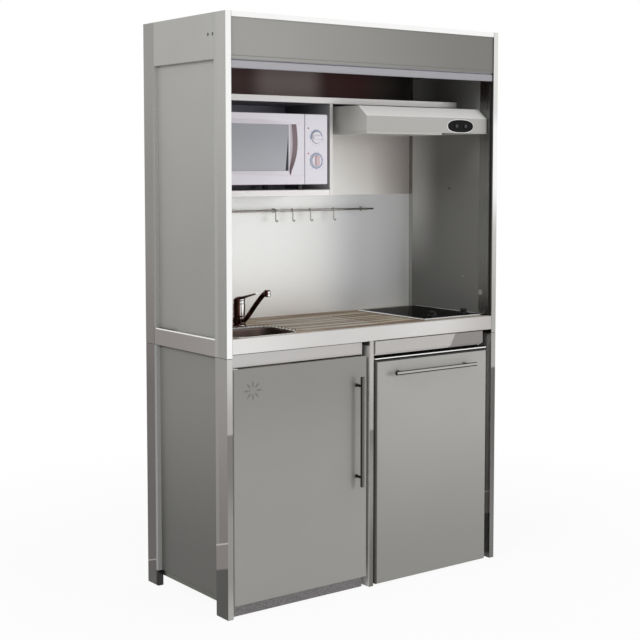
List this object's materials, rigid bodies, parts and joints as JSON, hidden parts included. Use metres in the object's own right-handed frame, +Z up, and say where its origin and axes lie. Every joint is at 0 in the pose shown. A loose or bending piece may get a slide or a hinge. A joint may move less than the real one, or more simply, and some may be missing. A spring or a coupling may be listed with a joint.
{
  "type": "compact kitchenette",
  "caption": "Steel kitchenette with sink, tap, drainer, hob, hood, shelves, microwave, refrigerator and cupboard behind a roller shutter, with opening doors and turning controls.",
  "frame": {"origin": "on the floor, under the middle of the whole outline with the door handles", "axes": "+Z up, +X along the width towards the refrigerator's side, +Y towards the back wall"},
  "size_m": [1.2, 0.58, 1.98],
  "materials": {
    "lower_frame_left": "satin",
    "lower_frame_right": "satin",
    "upper_frame_left": "satin",
    "upper_frame_right": "satin",
    "centre_post": "satin",
    "top_rail": "satin",
    "backsplash": "satin",
    "worktop": "satin",
    "sink_bowl": "satin",
    "plinth_strip": "satin",
    "apron_rail": "satin",
    "cupboard_handle": "satin",
    "fridge_handle": "satin",
    "lower_side_panel_left": "satin",
    "lower_side_panel_right": "satin",
    "upper_side_panel_left": "satin",
    "upper_side_panel_right": "satin",
    "shutter_box_side_left": "satin",
    "shutter_box_side_right": "satin",
    "roof_panel": "satin",
    "lower_back_panel": "satin",
    "partition": "satin",
    "upper_back_panel": "satin",
    "base_shelf": "satin",
    "top_shelf": "satin",
    "microwave_shelf": "satin",
    "niche_divider": "satin",
    "shutter_fascia": "satin",
    "shutter_cassette": "matte",
    "shutter_guide_left": "matte",
    "shutter_guide_right": "matte",
    "shutter_bottom_bar": "satin",
    "shutter_roller": "satin",
    "shutter_curtain": "satin",
    "sink_trap": "matte",
    "tap_body": "polished",
    "tap_spout": "polished",
    "tap_collar": "polished",
    "tap_lever": "polished",
    "utensil_rail": "polished",
    "hob_frame": "polished",
    "hob_glass": "polished",
    "hob_knob_left": "satin",
    "hob_knob_right": "satin",
    "hood_body": "satin",
    "hood_filter": "satin",
    "hood_switch_plate": "satin",
    "hood_button_left": "satin",
    "hood_button_right": "satin",
    "microwave_case": "gloss",
    "microwave_door": "gloss",
    "microwave_turntable": "polished",
    "microwave_power_knob": "gloss",
    "microwave_timer_knob": "gloss",
    "fridge_case": "matte",
    "fridge_door": "satin",
    "fridge_strip": "satin",
    "fridge_shelf": "polished",
    "fridge_compressor": "satin",
    "cupboard_door": "satin"
  },
  "bodies": {
    "cabinet": {"lower_frame_left": "lower_frame_left", "lower_frame_right": "lower_frame_right", "upper_frame_left": "upper_frame_left", "upper_frame_right": "upper_frame_right", "centre_post": "centre_post", "top_rail": "top_rail", "backsplash": "backsplash", "worktop": "worktop", "sink_bowl": "sink_bowl", "plinth_strip": "plinth_strip", "apron_rail": "apron_rail", "lower_side_panel_left": "lower_side_panel_left", "lower_side_panel_right": "lower_side_panel_right", "upper_side_panel_left": "upper_side_panel_left", "upper_side_panel_right": "upper_side_panel_right", "shutter_box_side_left": "shutter_box_side_left", "shutter_box_side_right": "shutter_box_side_right", "roof_panel": "roof_panel", "lower_back_panel": "lower_back_panel", "partition": "partition", "upper_back_panel": "upper_back_panel", "base_shelf": "base_shelf", "top_shelf": "top_shelf", "microwave_shelf": "microwave_shelf", "niche_divider": "niche_divider", "shutter_fascia": "shutter_fascia", "shutter_cassette": "shutter_cassette", "shutter_guide_left": "shutter_guide_left", "shutter_guide_right": "shutter_guide_right", "sink_trap": "sink_trap", "tap_body": "tap_body", "utensil_rail": "utensil_rail", "hob_frame": "hob_frame", "hob_glass": "hob_glass", "hood_body": "hood_body", "hood_filter": "hood_filter", "hood_switch_plate": "hood_switch_plate", "microwave_case": "microwave_case", "fridge_case": "fridge_case", "fridge_strip": "fridge_strip", "fridge_shelf": "fridge_shelf", "fridge_compressor": "fridge_compressor"},
    "shutter": {"shutter_bottom_bar": "shutter_bottom_bar", "shutter_curtain": "shutter_curtain"},
    "shutter_roller": {"shutter_roller": "shutter_roller"},
    "cupboard_door": {"cupboard_door": "cupboard_door", "cupboard_handle": "cupboard_handle"},
    "fridge_door": {"fridge_door": "fridge_door", "fridge_handle": "fridge_handle"},
    "microwave_door": {"microwave_door": "microwave_door"},
    "turntable": {"microwave_turntable": "microwave_turntable"},
    "power_knob": {"microwave_power_knob": "microwave_power_knob"},
    "timer_knob": {"microwave_timer_knob": "microwave_timer_knob"},
    "tap_spout": {"tap_spout": "tap_spout"},
    "tap_collar": {"tap_collar": "tap_collar"},
    "tap_lever": {"tap_lever": "tap_lever"},
    "hob_knob_left": {"hob_knob_left": "hob_knob_left"},
    "hob_knob_right": {"hob_knob_right": "hob_knob_right"},
    "hood_button_left": {"hood_button_left": "hood_button_left"},
    "hood_button_right": {"hood_button_right": "hood_button_right"}
  },
  "joints": [
    {"name": "cupboard_door_hinge", "type": "hinge", "parent": "cabinet", "child": "cupboard_door", "pos_m": [-0.5675, -0.231, 0.043], "axis": [0, 0, -1], "range_deg": [0, 95]},
    {"name": "fridge_door_hinge", "type": "hinge", "parent": "cabinet", "child": "fridge_door", "pos_m": [0.53, -0.223, 0.0065], "axis": [0, 0, 1], "range_deg": [0, 100]},
    {"name": "microwave_door_hinge", "type": "hinge", "parent": "cabinet", "child": "microwave_door", "pos_m": [-0.536, -0.0735, 1.4233], "axis": [0, 0, -1], "range_deg": [0, 90]},
    {"name": "shutter_slide", "type": "slide", "parent": "cabinet", "child": "shutter", "axis": [0, 0, 1], "range_m": [-0.87, 0], "deforming": ["shutter_curtain"]},
    {"name": "shutter_roller_turn", "type": "hinge", "parent": "cabinet", "child": "shutter_roller", "pos_m": [0, -0.1762, 1.896], "axis": [1, 0, 0], "range_deg": [0, 1000]},
    {"name": "tap_spout_swivel", "type": "hinge", "parent": "cabinet", "child": "tap_spout", "pos_m": [-0.348, 0.072, 0.9263], "axis": [0, 0, 1], "range_deg": [-75, 75]},
    {"name": "tap_lever_turn", "type": "hinge", "parent": "cabinet", "child": "tap_collar", "pos_m": [-0.348, 0.072, 1.0046], "axis": [0, 0, 1], "range_deg": [-45, 45]},
    {"name": "tap_lever_lift", "type": "hinge", "parent": "tap_collar", "child": "tap_lever", "pos_m": [-0.348, 0.0935, 1.0149], "axis": [-1, 0, 0], "range_deg": [0, 22]},
    {"name": "hob_knob_left_turn", "type": "hinge", "parent": "cabinet", "child": "hob_knob_left", "pos_m": [0.353, -0.162, 0.9326], "axis": [0, 0, -1], "range_deg": [0, 300]},
    {"name": "hob_knob_right_turn", "type": "hinge", "parent": "cabinet", "child": "hob_knob_right", "pos_m": [0.507, -0.162, 0.9326], "axis": [0, 0, -1], "range_deg": [0, 300]},
    {"name": "microwave_power_turn", "type": "hinge", "parent": "cabinet", "child": "power_knob", "pos_m": [-0.137, -0.1003, 1.5863], "axis": [0, 1, 0], "range_deg": [0, 240]},
    {"name": "microwave_timer_turn", "type": "hinge", "parent": "cabinet", "child": "timer_knob", "pos_m": [-0.137, -0.1003, 1.5053], "axis": [0, 1, 0], "range_deg": [0, 300]},
    {"name": "turntable_turn", "type": "hinge", "parent": "cabinet", "child": "turntable", "pos_m": [-0.362, 0.0645, 1.4363], "axis": [0, 0, 1], "continuous": true},
    {"name": "hood_button_left_press", "type": "slide", "parent": "cabinet", "child": "hood_button_left", "axis": [0, 1, 0], "range_m": [0, 0.0013], "stiffness_N_per_m": 300},
    {"name": "hood_button_right_press", "type": "slide", "parent": "cabinet", "child": "hood_button_right", "axis": [0, 1, 0], "range_m": [0, 0.0013], "stiffness_N_per_m": 300}
  ],
  "couplings": [
    {"joint": "shutter_roller_turn", "follows": "shutter_slide", "rad_per_m": -20}
  ]
}
